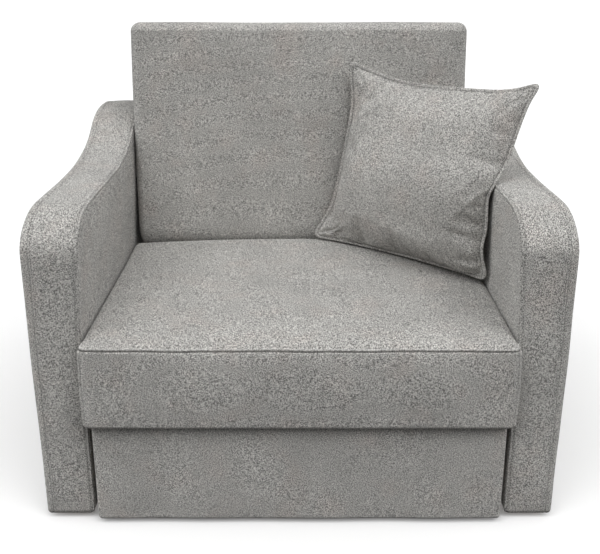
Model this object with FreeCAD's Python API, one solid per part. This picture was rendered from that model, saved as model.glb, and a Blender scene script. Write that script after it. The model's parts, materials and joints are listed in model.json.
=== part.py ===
"""An armchair that unfolds into a single bed.

Low arms sweep up to the rear and carry a steel frame between them. The seat stands on its own
wheels and rolls forward. The back is two mattress sections hinged at their upper ends, like a
steep roof: the front one is the backrest, the rear one hangs behind it. As the seat rolls out,
the roof lies down behind it, until all three mattresses are level.

Axes: X across the chair, Y from front to rear, Z up. The origin is on the floor, in the middle
of the chair's width and depth. Inside this file Y is measured from the arms' front faces, and
everything is moved to that origin as it is written. Sizes are in millimetres.
"""
import FreeCAD, Part
import math
import os

Vector = FreeCAD.Vector

# Overall
overall_width = 1000.0
floor_gap = 12.0            # under the arms and the front panel
clearance = 0.3             # between soft faces and what they lie on
pin_clearance = 0.05        # radial, between a pin and its hole

# Arms, as seen from the side
arm_thickness = 98.0
arm_rear_margin = 4.0       # the arms end this far behind the side frames
arm_top = 615.0             # height of the level front stretch
arm_crest = 702.0           # height at the rear
arm_crest_level = 30.0      # level stretch at the crest
arm_shoulder_radius = 155.0 # from the crest down to the rear face
arm_nose_length = 125.0     # rounding from the front face to the top
arm_nose_height = 70.0
arm_sweep_slope = 26.0      # degrees, at the steepest place
arm_sweep_upper_radius = 285.0
arm_edge_radius = 7.0
arm_padding_side = 10.0
arm_padding_top = 15.0
cheek_thickness = 12.0
batten_size = 40.0

# Seat and back, placed by the pivot between them
seat_pivot_y = 604.0
seat_pivot_z = 361.0
pivot_depth = 25.0          # the pivots lie this far below the mattress surface
back_angle = 85.0           # degrees from level, with the chair folded
mattress_end_gap = 12.0     # from the seat pivot to the mattress ends on either side
seat_side_gap = 4.0         # between each mattress and the arms
back_side_gap = 6.0
rear_side_gap = 24.0
back_length = 548.0         # seat pivot to the backrest's upper end
rear_overhang = 165.0       # rear mattress beyond its pivot
apex_recess = 18.0          # the apex axis lies this far below the backrest's upper end
bed_joint_gap = 14.0        # between the backrest and the rear mattress, when level
back_thickness = 120.0
seat_front = -42.0          # front face of the seat cushion
cushion_crown = 12.0
back_crown = 10.0
rear_crown = 8.0
seat_front_bulge = 6.0
cushion_corner = 28.0
seat_rear_corner = 32.0
cushion_edge_radius = 12.0
cover_thickness = 4.0

# Steel tube of the three mattress frames
tube_width = 30.0
tube_height = 20.0
tube_wall = 1.5
frame_side_gap = 24.0       # between the frames and the arms
seat_rail_gap = 0.6         # the seat frame's top stands this far above the side rails
seat_frame_front = 10.0
plate_thickness = 4.0
plate_gap = 0.8
pivot_pin_radius = 5.0
pivot_plate_radius = 11.0
pin_head_radius = 8.0
pin_head_height = 2.5
rivet_slack = 0.5           # between a plate and the rivet head beside it
apex_drop = 6.0             # the apex axis lies this far outside the tubes
apex_plate_reach = 50.0     # from the apex to the middle of the backrest plate's foot
apex_foot = 20.0
rear_frame_recess = 10.0    # the rear frame stops this much short of its mattress
tube_end_recess = 6.0       # the frame tubes stop this much short of the apex
apex_cap_height = 1.5
roller_radius = 10.0

# Sprung slats
slat_width = 53.0
slat_thickness = 8.0
slat_rise = 3.0
slat_holder_length = 60.0
slat_holder_depth = 14.0
slat_holder_wall = 3.0
seat_slats = 6
back_slats = 6
rear_slats = 7

# Side frames and crossbars that stay with the arms
side_tube_width = 14.0
side_tube_height = 35.0
side_frame_front = 40.0
side_frame_bottom = 30.0
crossbar_size = 30.0
crossbar_wall = 2.0
crossbar_heights = (40.0, 120.0)
rear_bracket_width = 36.0

# Seat legs and wheels
leg_size = 25.0
front_leg_y = 37.5
rear_leg_inset = 27.0       # from the seat's rear to the middle of the rear legs
wheel_radius = 25.0
wheel_width = 18.0
wheel_side_gap = 1.0
wheel_dish_depth = 3.0
tyre_thickness = 8.0
tyre_rounding = 2.5
hub_radius = 12.0
axle_radius = 4.0
fork_plate = 2.5
fork_crown_gap = 3.5        # above the tyre
fork_end_radius = 10.0
axle_slack = 0.3
axle_head_radius = 6.5
axle_head_height = 2.0

# Front panel under the seat
panel_side_gap = 6.0
panel_front = -20.0
panel_thickness = 25.0
panel_top_gap = 6.3         # below the seat cushion
panel_padding = 10.0
panel_edge_radius = 10.0
cleat_bottom = 65.0
cleat_top_gap = 15.0        # below the seat frame
screw_radius = 3.0
screw_head_radius = 6.0
screw_head_height = 3.0
screw_tip_cover = 2.0       # board left in front of the screws' tips
screw_rise = 14.0           # from the leg stretchers to the lower screws
screw_spacing = 80.0

# Bolts and floor glides
bolt_radius = 4.0
bolt_head_radius = 7.0
bolt_head_height = 5.0
bolt_heights = (95.0, 170.0)
glide_radius = 20.0
glide_chamfer = 1.5
glide_inset = 70.0

# Loose pillow
pillow_width = 450.0
pillow_height = 428.0
pillow_thickness = 125.0
pillow_edge_thickness = 12.0
pillow_draw_in = 14.0
pillow_arm_draw_in = 50.0   # on the side that lies against the arm
pillow_slant = 6.4          # degrees its sides lean to the right
pillow_recline = 9.0        # degrees it leans back
pillow_turn = 39.0          # degrees its face is turned from straight ahead towards the left
pillow_arm_gap = 2.0
pillow_seat_gap = 0.4
pillow_back_gap = 1.0

# Worked-out places
arm_inner = overall_width / 2 - arm_thickness
seat_half_width = arm_inner - seat_side_gap
back_half_width = arm_inner - back_side_gap
rear_half_width = arm_inner - rear_side_gap
frame_half_width = arm_inner - frame_side_gap
panel_half_width = arm_inner - panel_side_gap
surface = pivot_depth
mattress_bottom = surface - back_thickness
tube_outer = mattress_bottom - clearance
tube_inner = tube_outer - tube_height
apex_u = back_length - apex_recess
apex_v = tube_inner - apex_drop
turn = math.radians(back_angle)
apex_y = seat_pivot_y + apex_u * math.cos(turn) - apex_v * math.sin(turn)
rear_pivot_y = 2 * apex_y - seat_pivot_y
rear_pivot_z = seat_pivot_z
seat_surface = seat_pivot_z + pivot_depth
seat_rear = seat_pivot_y - mattress_end_gap
rear_leg_y = seat_rear - rear_leg_inset
seat_plate_x = frame_half_width - 3.0
back_plate_x = seat_plate_x - plate_thickness - plate_gap
apex_inner_plate_x = frame_half_width + plate_gap / 2
apex_outer_plate_x = apex_inner_plate_x + plate_thickness + plate_gap
side_tube_inner = arm_inner - side_tube_width
rear_bracket_x = side_tube_inner + plate_gap
rear_plate_x = rear_bracket_x - plate_gap - plate_thickness
roller_bottom_flat = seat_pivot_z + apex_v - roller_radius
side_rail_top = roller_bottom_flat - clearance
side_rail_bottom = side_rail_top - side_tube_height
side_frame_rear = rear_pivot_y + rear_bracket_width / 2
arm_depth = side_frame_rear + arm_rear_margin
crest_end = arm_depth - arm_shoulder_radius
arm_crest_place = crest_end - arm_crest_level
seat_frame_top = side_rail_top + seat_rail_gap
seat_bottom = seat_frame_top + clearance
panel_top = seat_bottom - panel_top_gap
cleat_top = seat_frame_top - tube_height - cleat_top_gap
fork_height = 2 * wheel_radius + fork_crown_gap + fork_plate
lower_screw_height = fork_height + tube_height + screw_rise
screw_heights = (lower_screw_height, lower_screw_height + screw_spacing)
leg_x = frame_half_width - 5.0 - leg_size
wheel_x = leg_x + leg_size / 2
panel_back = panel_front + panel_thickness

made = {}


def box(x0, x1, y0, y1, z0, z1):
    return Part.makeBox(x1 - x0, y1 - y0, z1 - z0, Vector(x0, y0, z0))


def rod(radius, x0, x1, y, z):
    """A round bar along X."""
    return Part.makeCylinder(radius, x1 - x0, Vector(x0, y, z), Vector(1, 0, 0))


def rod_y(radius, x, y0, y1, z):
    """A round bar along Y."""
    return Part.makeCylinder(radius, y1 - y0, Vector(x, y0, z), Vector(0, 1, 0))


def tube(axis, x0, x1, y0, y1, z0, z1, wall=tube_wall):
    """A rectangular tube along X, Y or Z, open at its ends."""
    w = {name: 0.0 if name == axis else wall for name in "xyz"}
    inner = box(x0 + w["x"], x1 - w["x"], y0 + w["y"], y1 - w["y"], z0 + w["z"], z1 - w["z"])
    return box(x0, x1, y0, y1, z0, z1).cut(inner)


def mirrored(shape):
    return shape.mirror(Vector(0, 0, 0), Vector(1, 0, 0))


def both_sides(shapes):
    return shapes + [mirrored(s) for s in shapes]


def fused(shapes):
    return shapes[0].fuse(shapes[1:]).removeSplitter() if len(shapes) > 1 else shapes[0]


def keep(name, shapes):
    """Files the closed solids of one node under its name."""
    made[name] = [s for shape in shapes for s in shape.Solids]


def side_wire(x, edges):
    """Edges drawn in the Y-Z plane at x, as one closed wire."""
    wire = Part.Wire(Part.__sortEdges__(edges))
    wire.translate(Vector(x, 0, 0))
    return wire


def arc(start, middle, end):
    """An arc through three points, each a pair (Y, Z); a straight line where they lie in a row."""
    across = (middle[0] - start[0]) * (end[1] - start[1]) - (middle[1] - start[1]) * (end[0] - start[0])
    if abs(across) < 1e-6:
        return line(start, end)
    return Part.Arc(*[Vector(0, y, z) for y, z in (start, middle, end)]).toShape()


def line(start, end):
    return Part.LineSegment(Vector(0, *start), Vector(0, *end)).toShape()


def round_arc(centre, radius, from_degrees, to_degrees):
    """An arc about a centre, its angles counted from +Y towards +Z."""
    middle = (from_degrees + to_degrees) / 2
    points = [
        (centre[0] + radius * math.cos(math.radians(a)), centre[1] + radius * math.sin(math.radians(a)))
        for a in (from_degrees, middle, to_degrees)
    ]
    return arc(*points)


# Arms


def arm_outline(inset, x):
    """The arm seen from the side: an elliptical nose, a level stretch, the sweep and a round shoulder.

    The sweep is two arcs that meet at its steepest place, and the shoulder ends at the rear face.
    """
    bottom = floor_gap
    front = inset
    rear = arm_depth - inset
    top = arm_top - inset
    slope = math.radians(arm_sweep_slope)
    upper_rise = arm_sweep_upper_radius * (1 - math.cos(slope))
    lower_radius = (arm_crest - arm_top - upper_rise) / (1 - math.cos(slope))
    upper_run = arm_sweep_upper_radius * math.sin(slope)
    sweep_start = arm_crest_place - upper_run - lower_radius * math.sin(slope)
    nose_base = arm_top - arm_nose_height
    nose = Part.Ellipse(Vector(0, 0, 0), arm_nose_length - inset, arm_nose_height - inset)
    nose_edge = Part.ArcOfEllipse(nose, math.pi / 2, math.pi).toShape()
    nose_edge.rotate(Vector(0, 0, 0), Vector(1, 1, 1), 120)
    nose_edge.translate(Vector(0, arm_nose_length, nose_base))
    upper_centre = (arm_crest_place, arm_crest - arm_sweep_upper_radius)
    lower_centre = (sweep_start, arm_top + lower_radius)
    shoulder_centre = (crest_end, arm_crest - arm_shoulder_radius)
    return side_wire(x, [
        line((front, bottom), (front, nose_base)),
        nose_edge,
        line((arm_nose_length, top), (sweep_start, top)),
        round_arc(lower_centre, lower_radius + inset, 270, 270 + arm_sweep_slope),
        round_arc(upper_centre, arm_sweep_upper_radius - inset, 90 + arm_sweep_slope, 90),
        line((arm_crest_place, arm_crest - inset), (crest_end, arm_crest - inset)),
        round_arc(shoulder_centre, arm_shoulder_radius - inset, 90, 0),
        line((rear, shoulder_centre[1]), (rear, bottom)),
        line((rear, bottom), (front, bottom)),
    ])


def arm_slab(x0, x1, inset):
    """A slab of the arm's outline between two X values."""
    return Part.Face(arm_outline(inset, x0)).extrude(Vector(x1 - x0, 0, 0))


def bolt_places():
    """(Y, Z) of the bolts that hold each arm to its side frame."""
    front = side_frame_front + side_tube_height / 2
    rear = side_frame_rear - 1.5 * side_tube_height
    return [(y, z) for y in (front, rear) for z in bolt_heights]


def glide_places():
    return [glide_inset, arm_depth - glide_inset]


def build_arms():
    core_inner = arm_inner + arm_padding_side
    core_outer = overall_width / 2 - arm_padding_side
    padding = arm_slab(arm_inner, overall_width / 2, 0.0)
    rims = [e for e in padding.Edges if e.BoundBox.XLength < 0.01 and e.BoundBox.ZMax > floor_gap + 0.01]
    padding = padding.makeFillet(arm_edge_radius, rims)
    core_space = arm_slab(core_inner, core_outer, arm_padding_top)
    padding = padding.cut(core_space)
    c = clearance
    x0 = core_inner + c + cheek_thickness
    x1 = core_outer - c - cheek_thickness
    cheeks = [
        arm_slab(core_inner + c, x0, arm_padding_top + c),
        arm_slab(x1, core_outer - c, arm_padding_top + c),
    ]
    y0 = arm_padding_top + c
    y1 = arm_depth - arm_padding_top - c
    b = batten_size
    front_top = arm_top - arm_nose_height - batten_size / 2
    battens = [
        box(x0, x1, y0 + b, y1 - b, floor_gap, floor_gap + b),
        box(x0, x1, y0, y0 + b, floor_gap, front_top),
        box(x0, x1, y1 - b, y1, floor_gap, front_top),
        box(x0, x1, y0 + b, y1 - b, front_top - b, front_top),
    ]
    holes = [rod(bolt_radius + pin_clearance, 0, x0, y, z) for y, z in bolt_places()]
    padding = padding.cut(holes)
    cheeks[0] = cheeks[0].cut(holes)
    keep("arm_cover_right", [padding])
    keep("arm_cover_left", [mirrored(padding)])
    keep("arm_panels_right", cheeks)
    keep("arm_panels_left", [mirrored(s) for s in cheeks])
    keep("arm_battens_right", battens)
    keep("arm_battens_left", [mirrored(s) for s in battens])
    glides = [
        Part.makeCylinder(glide_radius, floor_gap, Vector((x0 + x1) / 2, y, 0))
        for y in glide_places()
    ]
    glides = [g.makeChamfer(glide_chamfer, [e for e in g.Edges if e.BoundBox.ZMax < 0.1]) for g in glides]
    keep("floor_glides", both_sides(glides))


def build_bolts():
    """Hexagon bolts through the side frames into tee nuts in the arms' inner panels."""
    parts = []
    end = arm_inner + arm_padding_side + clearance + cheek_thickness
    for y, z in bolt_places():
        shank = rod(bolt_radius, side_tube_inner, end, y, z)
        head = hexagon(bolt_head_radius, side_tube_inner - bolt_head_height, side_tube_inner, y, z)
        parts.append(fused([shank, head]))
    keep("arm_bolts", both_sides(parts))


def hexagon(radius, x0, x1, y, z):
    points = [
        Vector(x0, y + radius * math.cos(math.radians(a)), z + radius * math.sin(math.radians(a)))
        for a in range(0, 361, 60)
    ]
    return Part.Face(Part.makePolygon(points)).extrude(Vector(x1 - x0, 0, 0))


# Side frames and crossbars


def build_base():
    x0, x1 = side_tube_inner, arm_inner
    h = side_tube_height
    y0, y1 = side_frame_front, side_frame_rear
    post_bottom = side_frame_bottom + h
    tubes = [
        tube("y", x0, x1, y0, y1, side_rail_bottom, side_rail_top),
        tube("y", x0, x1, y0, y1, side_frame_bottom, post_bottom),
        tube("z", x0, x1, y0, y0 + h, post_bottom, side_rail_bottom),
        tube("z", x0, x1, y1 - 2 * h, y1, post_bottom, side_rail_bottom),
    ]
    holes = [rod(bolt_radius + pin_clearance, 0, overall_width, y, z) for y, z in bolt_places()]
    tubes = [t.cut(holes) for t in tubes]
    keep("side_frame_tubes_right", tubes)
    keep("side_frame_tubes_left", [mirrored(t) for t in tubes])
    half = rear_bracket_width / 2
    bracket = pivot_plate(
        rear_bracket_x, plate_thickness, (rear_pivot_y, rear_pivot_z), half,
        [(rear_pivot_y - half, side_rail_top), (rear_pivot_y + half, side_rail_top)],
    )
    bracket = bracket.cut(rod(pivot_pin_radius + pin_clearance, 0, overall_width, rear_pivot_y, rear_pivot_z))
    keep("rear_pivot_brackets", both_sides([bracket]))
    s = crossbar_size
    bar_y = side_frame_rear - side_tube_height - s / 2
    bars = [
        tube("x", -x0, x0, bar_y, bar_y + s, z, z + s, crossbar_wall) for z in crossbar_heights
    ]
    keep("rear_crossbars", bars)
    pins = pin_between(
        rear_plate_x - rivet_slack, rear_bracket_x + plate_thickness + rivet_slack,
        (rear_pivot_y, rear_pivot_z),
    )
    keep("rear_pivot_pins", both_sides([pins]))


def pivot_plate(x, thickness, centre, radius, base):
    """A flat plate with a round end about its pivot and a straight foot at two (Y, Z) points."""
    (y0, z0), (y1, z1) = base
    dy, dz = y1 - y0, z1 - z0
    length = math.hypot(dy, dz)
    ay, az = dy / length, dz / length
    left = (centre[0] - ay * radius, centre[1] - az * radius)
    right = (centre[0] + ay * radius, centre[1] + az * radius)
    side = 1 if (centre[0] - y0) * -az + (centre[1] - z0) * ay > 0 else -1
    crown = (centre[0] - az * radius * side, centre[1] + ay * radius * side)
    edges = [line((y0, z0), left), arc(left, crown, right), line(right, (y1, z1)), line((y1, z1), (y0, z0))]
    return Part.Face(side_wire(x, edges)).extrude(Vector(thickness, 0, 0))


def pin_between(x0, x1, centre):
    """A rivet with a flat head at each end; x0 and x1 are the heads' inner faces."""
    shank = rod(pivot_pin_radius, x0, x1, *centre)
    heads = [
        rod(pin_head_radius, x0 - pin_head_height, x0, *centre),
        rod(pin_head_radius, x1, x1 + pin_head_height, *centre),
    ]
    return fused([shank] + heads)


# Cushions


def cushion_section(x, y0, y1, z0, z1, crown, bulge, inset, round_front, round_rear):
    """Side outline of a cushion at x: flat below, bulging in front, crowned above, with round corners.

    An inset draws it in on every side but the bottom.
    """
    ya, yb = y0 + inset, y1 - inset
    za, zb = z0, z1 - inset
    rf = max(round_front - inset, 2.0)
    rr = max(round_rear - inset, 2.0)
    k = math.sqrt(0.5)
    low_front = (ya, za + rf)
    high_front = (ya, zb - rf)
    high_left = (ya + rf, zb)
    high_right = (yb - rr, zb)
    rear_high = (yb, zb - rr)
    edges = [
        line((ya + rf, za), (yb, za)),
        arc((ya + rf, za), (ya + rf - rf * k, za + rf - rf * k), low_front),
        arc(low_front, (ya - bulge, (low_front[1] + high_front[1]) / 2), high_front),
        arc(high_front, (ya + rf - rf * k, zb - rf + rf * k), high_left),
        arc(high_left, ((high_left[0] + high_right[0]) / 2, zb + crown), high_right),
        arc(high_right, (yb - rr + rr * k, zb - rr + rr * k), rear_high),
        line(rear_high, (yb, za)),
    ]
    return side_wire(x, edges)


def cushion(half_width, y0, y1, z0, z1, crown, bulge, rounds, inset=0.0, edge_radius=0.0):
    """A closed cushion, lofted across the chair through three side outlines, highest in the middle."""
    front, rear = rounds
    half = half_width - inset
    stations = ((-half, 0.45, 0.3), (0.0, 1.0, 1.0), (half, 0.45, 0.3))
    wires = [
        cushion_section(x, y0, y1, z0, z1, crown * share, bulge * bulge_share, inset, front, rear)
        for x, share, bulge_share in stations
    ]
    solid = Part.makeLoft(wires, True, False)
    if edge_radius:
        rims = [
            e for e in solid.Edges
            if e.BoundBox.XLength < 0.01 and e.BoundBox.ZMax > z0 + 1.0 and e.BoundBox.YMin < y1 - 0.5
        ]
        solid = solid.makeFillet(edge_radius, rims)
    return solid


def covered_cushion(half_width, y0, y1, z0, z1, crown, bulge, rounds):
    """A foam block and the cover drawn over it, which is open below."""
    size = (half_width, y0, y1, z0, z1, crown, bulge, rounds)
    outer = cushion(*size, edge_radius=cushion_edge_radius)
    hollow = cushion(*size, inset=cover_thickness)
    side, front, rear = half_width - cover_thickness, y0 + rounds[0], y1 - cover_thickness
    hollow = hollow.fuse(box(-side, side, front, rear, z0 - 5.0, z0 + 5.0))
    foam = cushion(*size, inset=cover_thickness + clearance)
    return outer.cut(hollow), foam


def placed_back(shape):
    """From the level position, where Y and Z are counted from the seat pivot, to the folded chair."""
    moved = shape.copy()
    moved.rotate(Vector(0, 0, 0), Vector(1, 0, 0), back_angle)
    moved.translate(Vector(0, seat_pivot_y, seat_pivot_z))
    return moved


def placed_rear(shape):
    """From the level position, where Y and Z are counted from the rear pivot, to the folded chair."""
    moved = shape.copy()
    moved.rotate(Vector(0, 0, 0), Vector(1, 0, 0), -back_angle)
    moved.translate(Vector(0, rear_pivot_y, rear_pivot_z))
    return moved


# Slats


def slat_set(count, y0, y1, top):
    """Bent slats across a frame and the plastic pockets that hold their ends."""
    slats, holders = [], []
    inner = frame_half_width - tube_width
    step = (y1 - y0) / count
    half = inner - slat_holder_wall
    low = top - tube_height + slat_holder_wall + 1.0
    for i in range(count):
        middle = y0 + step * (i + 0.5)
        ya = middle - slat_width / 2
        lower, upper = [
            Part.Arc(Vector(-half, ya, z), Vector(0, ya, z + slat_rise), Vector(half, ya, z)).toShape()
            for z in (low, low + slat_thickness)
        ]
        ends = [
            Part.LineSegment(Vector(x, ya, low), Vector(x, ya, low + slat_thickness)).toShape()
            for x in (-half, half)
        ]
        face = Part.Face(Part.Wire(Part.__sortEdges__([upper, lower] + ends)))
        slat = face.extrude(Vector(0, slat_width, 0))
        slats.append(slat)
        block = box(
            inner - slat_holder_depth, inner,
            middle - slat_holder_length / 2, middle + slat_holder_length / 2,
            low - slat_holder_wall, low + slat_thickness + slat_holder_wall,
        )
        pocket = box(
            inner - slat_holder_depth, inner - slat_holder_wall + clearance,
            ya - clearance, ya + slat_width + clearance,
            low - clearance, low + slat_thickness + 2 * clearance,
        )
        holder = block.cut(pocket)
        holders += [holder, mirrored(holder)]
    return slats, holders


def mattress_frame(y0, y1, top):
    """Two side tubes with a cross tube between them at either end."""
    w, outer, low = tube_width, frame_half_width, top - tube_height
    tubes = both_sides([tube("y", outer - w, outer, y0, y1, low, top)])
    for y in (y0, y1 - tube_height):
        tubes.append(tube("x", -outer + w, outer - w, y, y + tube_height, low, top))
    return tubes


# The three sections


def build_seat():
    cover, foam = covered_cushion(
        seat_half_width, seat_front, seat_rear, seat_bottom, seat_surface,
        cushion_crown, seat_front_bulge, (cushion_corner, seat_rear_corner),
    )
    keep("seat_cover", [cover])
    keep("seat_foam", [foam])
    top = seat_frame_top
    low = top - tube_height
    keep("seat_frame_tubes", mattress_frame(seat_frame_front, seat_rear, top))
    half = pivot_plate_radius - rivet_slack
    inside = seat_plate_x - plate_thickness
    plate = fused([
        pivot_plate(inside, plate_thickness, (seat_pivot_y, seat_pivot_z), half,
                    [(seat_pivot_y - half, low), (seat_pivot_y + half, low)]),
        box(inside, seat_plate_x, seat_rear, seat_pivot_y + half, low, top),
    ])
    pivot_hole = rod(pivot_pin_radius + pin_clearance, 0, overall_width, seat_pivot_y, seat_pivot_z)
    keep("seat_hinge_plates", both_sides([plate.cut(pivot_hole)]))
    outer, s = leg_x + leg_size, leg_size / 2
    legs = [tube("z", leg_x, outer, y - s, y + s, fork_height, low) for y in (front_leg_y, rear_leg_y)]
    screw_holes = [
        rod_y(screw_radius + pin_clearance, wheel_x, panel_back, front_leg_y + leg_size, z)
        for z in screw_heights
    ]
    legs[0] = legs[0].cut(screw_holes)
    keep("seat_legs", both_sides(legs))
    rail_top = fork_height + tube_height
    stretcher = tube("y", leg_x, outer, front_leg_y + s, rear_leg_y - s, fork_height, rail_top)
    keep("seat_leg_stretchers", both_sides([stretcher]))
    slats, holders = slat_set(
        seat_slats, seat_frame_front + tube_height, seat_rear - tube_height, seat_frame_top
    )
    keep("seat_slats", slats)
    keep("seat_slat_holders", holders)
    pin = pin_between(
        back_plate_x - plate_thickness - rivet_slack, seat_plate_x + rivet_slack,
        (seat_pivot_y, seat_pivot_z),
    )
    keep("seat_pivot_pins", both_sides([pin]))


def build_front_panel():
    h, p = panel_half_width, panel_padding
    outer = box(-h, h, panel_front, panel_back, floor_gap, panel_top)
    rims = [
        e for e in outer.Edges
        if e.BoundBox.YMax < panel_front + 0.01
        or (e.BoundBox.XLength < 0.01 and e.BoundBox.ZLength < 0.01)
    ]
    outer = outer.makeFillet(panel_edge_radius, rims)
    hollow = box(-h + p, h - p, panel_front + p, panel_back, floor_gap + p, panel_top - p)
    keep("front_panel_cover", [outer.cut(hollow)])
    c = clearance
    board = box(-h + p + c, h - p - c, panel_front + p + c, panel_back, floor_gap + p + c, panel_top - p - c)
    cleats = both_sides([
        box(leg_x, leg_x + leg_size, panel_back, front_leg_y - leg_size / 2, cleat_bottom, cleat_top)
    ])
    screws, holes = [], []
    tip = panel_front + p + screw_tip_cover
    back = front_leg_y + leg_size / 2
    for side in (-1, 1):
        for z in screw_heights:
            shank = rod_y(screw_radius, side * wheel_x, tip, back, z)
            head = rod_y(screw_head_radius, side * wheel_x, back, back + screw_head_height, z)
            screws.append(fused([shank, head]))
            holes.append(rod_y(screw_radius + pin_clearance, side * wheel_x, tip - clearance, back, z))
    keep("front_panel_board", [board.cut(holes)])
    keep("front_panel_cleats", [c.cut(holes) for c in cleats])
    keep("front_panel_screws", screws)


def build_wheels():
    forks, axles = [], []
    inside = wheel_width / 2 + wheel_side_gap
    outside = inside + fork_plate
    for side, side_name in ((-1, "left"), (1, "right")):
        for y, end_name in ((front_leg_y, "front"), (rear_leg_y, "rear")):
            x = side * wheel_x
            tyre = rod(wheel_radius, x - wheel_width / 2, x + wheel_width / 2, y, wheel_radius)
            tyre = tyre.makeFillet(tyre_rounding, [e for e in tyre.Edges if e.BoundBox.XLength < 0.01])
            dish_end = x - wheel_width / 2 + wheel_dish_depth
            dish = rod(wheel_radius - tyre_thickness, x - wheel_width, dish_end, y, wheel_radius)
            ring = dish.cut(rod(hub_radius, x - wheel_width, dish_end, y, wheel_radius))
            bore = rod(axle_radius + pin_clearance, x - wheel_width, x + wheel_width, y, wheel_radius)
            keep(f"wheel_{end_name}_{side_name}", [tyre.cut([ring, mirror_at(ring, x), bore])])
            plates = [
                pivot_plate(px, fork_plate, (y, wheel_radius), fork_end_radius,
                            [(y - leg_size / 2, fork_height), (y + leg_size / 2, fork_height)])
                for px in (x - outside, x + inside)
            ]
            crown = box(
                x - outside, x + outside, y - leg_size / 2, y + leg_size / 2,
                fork_height - fork_plate, fork_height,
            )
            forks.append(fused(plates + [crown]).cut(bore))
            axles.append(axle(x - outside - axle_slack, x + outside + axle_slack, y))
    keep("wheel_forks", forks)
    keep("wheel_axles", axles)


def mirror_at(shape, x):
    return shape.mirror(Vector(x, 0, 0), Vector(1, 0, 0))


def axle(x0, x1, y):
    """An axle with a flat head at each end; x0 and x1 are the heads' inner faces."""
    heads = [
        rod(axle_head_radius, x0 - axle_head_height, x0, y, wheel_radius),
        rod(axle_head_radius, x1, x1 + axle_head_height, y, wheel_radius),
    ]
    return fused([rod(axle_radius, x0, x1, y, wheel_radius)] + heads)


def build_backrest():
    """The front section of the folded back, drawn level with its pivot at the origin."""
    cover, foam = covered_cushion(
        back_half_width, mattress_end_gap, back_length, mattress_bottom, surface,
        back_crown, 0.0, (cushion_corner, cushion_corner),
    )
    keep("backrest_cover", [placed_back(cover)])
    keep("backrest_foam", [placed_back(foam)])
    end = apex_u - tube_end_recess
    start = mattress_end_gap + 2.0
    keep("backrest_frame_tubes", [placed_back(t) for t in mattress_frame(start, end, tube_outer)])
    half = pivot_plate_radius - rivet_slack
    inside = back_plate_x - plate_thickness
    pivot_hole = rod(pivot_pin_radius + pin_clearance, 0, overall_width, 0.0, 0.0)
    lower = fused([
        pivot_plate(inside, plate_thickness, (0.0, 0.0), half, [(-half, tube_inner), (half, tube_inner)]),
        box(inside, back_plate_x, 0.0, start, tube_inner, tube_outer),
    ]).cut(pivot_hole)
    keep("backrest_hinge_plates", [placed_back(p) for p in both_sides([lower])])
    foot = apex_u - apex_plate_reach
    apex_hole = rod(pivot_pin_radius + pin_clearance, 0, overall_width, apex_u, apex_v)
    upper = fused([
        pivot_plate(apex_inner_plate_x, plate_thickness, (apex_u, apex_v), pivot_plate_radius,
                    [(foot, tube_outer), (foot, tube_inner)]),
        box(
            frame_half_width, apex_inner_plate_x + plate_thickness,
            foot - apex_foot / 2, foot + apex_foot / 2, tube_inner, tube_outer,
        ),
    ]).cut(apex_hole)
    keep("backrest_apex_plates", [placed_back(p) for p in both_sides([upper])])
    slats, holders = slat_set(back_slats, start + tube_height, end - tube_height, tube_outer)
    keep("backrest_slats", [placed_back(s) for s in slats])
    keep("backrest_slat_holders", [placed_back(s) for s in holders])
    cap_x = back_half_width - apex_cap_height
    pin = rod(pivot_pin_radius, apex_inner_plate_x, cap_x, apex_u, apex_v)
    cap = rod(pin_head_radius, cap_x, back_half_width, apex_u, apex_v)
    keep("apex_pins", [placed_back(s) for s in both_sides([fused([pin, cap])])])
    roller_x = apex_outer_plate_x + plate_thickness + rivet_slack
    roller = rod(roller_radius, roller_x, cap_x - clearance, apex_u, apex_v)
    roller = roller.cut(rod(pivot_pin_radius + pin_clearance, 0, overall_width, apex_u, apex_v))
    keep("apex_rollers", [placed_back(s) for s in both_sides([roller])])


def build_rear():
    """The rear section of the folded back, drawn level with its pivot at the origin, apex forward."""
    front = -2 * apex_u + back_length + bed_joint_gap
    cover, foam = covered_cushion(
        rear_half_width, front, rear_overhang, mattress_bottom, surface,
        rear_crown, 0.0, (cushion_corner, cushion_corner),
    )
    keep("rear_mattress_cover", [placed_rear(cover)])
    keep("rear_mattress_foam", [placed_rear(foam)])
    start = -apex_u + tube_end_recess
    end = rear_overhang - rear_frame_recess
    keep("rear_frame_tubes", [placed_rear(t) for t in mattress_frame(start, end, tube_outer)])
    half = rear_bracket_width / 2
    pivot_hole = rod(pivot_pin_radius + pin_clearance, 0, overall_width, 0.0, 0.0)
    lower = fused([
        pivot_plate(rear_plate_x, plate_thickness, (0.0, 0.0), half - 2.0,
                    [(-half, tube_inner), (half, tube_inner)]),
        box(frame_half_width, rear_plate_x + plate_thickness, -half, half, tube_inner, tube_outer),
    ]).cut(pivot_hole)
    keep("rear_pivot_plates", [placed_rear(p) for p in both_sides([lower])])
    foot = -apex_u + 1.5 * apex_plate_reach
    apex_hole = rod(pivot_pin_radius + pin_clearance, 0, overall_width, -apex_u, apex_v)
    upper = fused([
        pivot_plate(apex_outer_plate_x, plate_thickness, (-apex_u, apex_v), pivot_plate_radius,
                    [(foot, tube_outer), (foot, tube_inner)]),
        box(
            frame_half_width, apex_outer_plate_x + plate_thickness,
            foot - apex_foot / 2, foot + apex_foot / 2, tube_inner, tube_outer,
        ),
    ]).cut(apex_hole)
    keep("rear_apex_plates", [placed_rear(p) for p in both_sides([upper])])
    slats, holders = slat_set(rear_slats, start + tube_height, end - tube_height, tube_outer)
    keep("rear_slats", [placed_rear(s) for s in slats])
    keep("rear_slat_holders", [placed_rear(s) for s in holders])


# Pillow


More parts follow.
